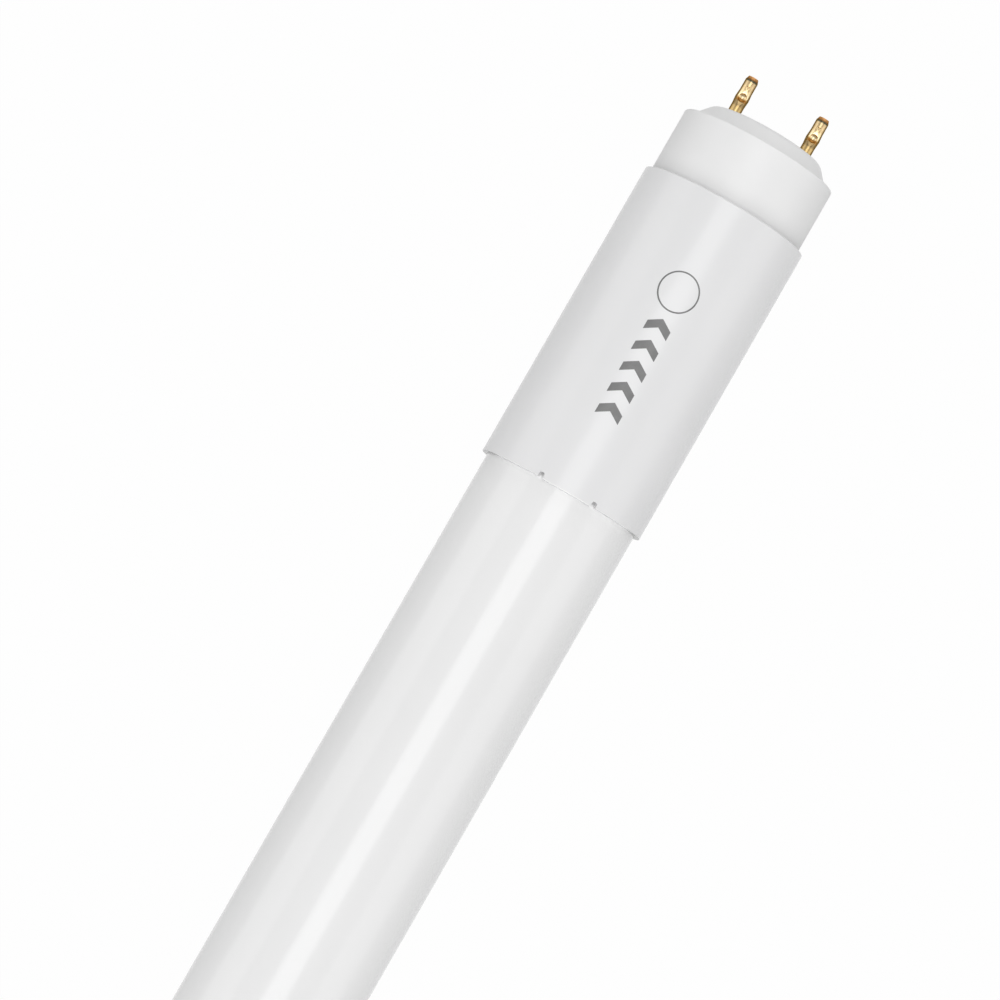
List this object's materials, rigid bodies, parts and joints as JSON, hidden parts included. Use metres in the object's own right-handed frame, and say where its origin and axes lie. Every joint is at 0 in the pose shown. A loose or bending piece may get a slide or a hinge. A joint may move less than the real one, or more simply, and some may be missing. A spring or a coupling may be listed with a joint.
{
  "type": "LED tube lamp",
  "caption": "Straight opal glass LED tube with opaque white sleeves over its ends and brass contact pins on each stepped cap; the LED strip and the driver are inside.",
  "frame": {"origin": "middle of the tube, on its axis", "axes": "+X along the tube, towards the end that holds the driver; both pairs of pins lie in the XY plane; +Z is the side of the LED board, which shines towards -Z in use"},
  "size_m": [0.6032, 0.028, 0.028],
  "materials": {
    "opal_glass": "opal white, glossy outside",
    "sleeve_plastic": "white, satin gloss",
    "cap_plastic": "white, fine matte",
    "contact_brass": "bright drawn brass, darker round the dents",
    "silicone": "white, soft sheen",
    "led_board_white": "white solder mask",
    "led_package": "white moulded cup",
    "phosphor": "yellow gel",
    "driver_board_green": "green solder mask",
    "solder": "bright solder",
    "wire_white": "white insulation, bare tinned ends",
    "wire_red": "red insulation, bare tinned ends",
    "wire_black": "black insulation, bare tinned ends",
    "varistor_blue": "blue dipped coat",
    "film_box": "yellow potted box",
    "fuse_coat": "grey-green flameproof coat",
    "ferrite": "dark grey ferrite",
    "copper_wire": "enamelled copper",
    "bobbin_black": "black phenolic",
    "can_sleeve": "dark shrink film",
    "package_black": "black moulding, tinned legs",
    "resistor_black": "black glaze, tinned ends"
  },
  "bodies": {
    "root": {"glass_tube": "opal_glass", "driver_end_sleeve": "sleeve_plastic", "far_end_sleeve": "sleeve_plastic", "driver_end_cap": "cap_plastic", "far_end_cap": "cap_plastic", "driver_end_pin_left": "contact_brass", "driver_end_pin_right": "contact_brass", "far_end_pin_left": "contact_brass", "far_end_pin_right": "contact_brass", "driver_end_glue": "silicone", "far_end_glue": "silicone", "strip_glue": "silicone", "led_board": "led_board_white", "led_packages": "led_package", "led_phosphors": "phosphor", "led_board_solder": "solder", "driver_board": "driver_board_green", "driver_board_solder": "solder", "driver_end_wire_left": "wire_white", "driver_end_wire_right": "wire_white", "far_end_wire_left": "wire_white", "far_end_wire_right": "wire_white", "output_wire_left": "wire_red", "output_wire_right": "wire_black", "varistor": "varistor_blue", "film_capacitor": "film_box", "fuse_resistor": "fuse_coat", "choke_core": "ferrite", "choke_winding": "copper_wire", "bulk_capacitor": "can_sleeve", "output_capacitor": "can_sleeve", "inductor_core": "ferrite", "inductor_bobbin": "bobbin_black", "inductor_winding": "copper_wire", "bridge_rectifier": "package_black", "driver_chip": "package_black", "output_diode": "package_black", "chip_resistors": "resistor_black"}
  },
  "joints": []
}
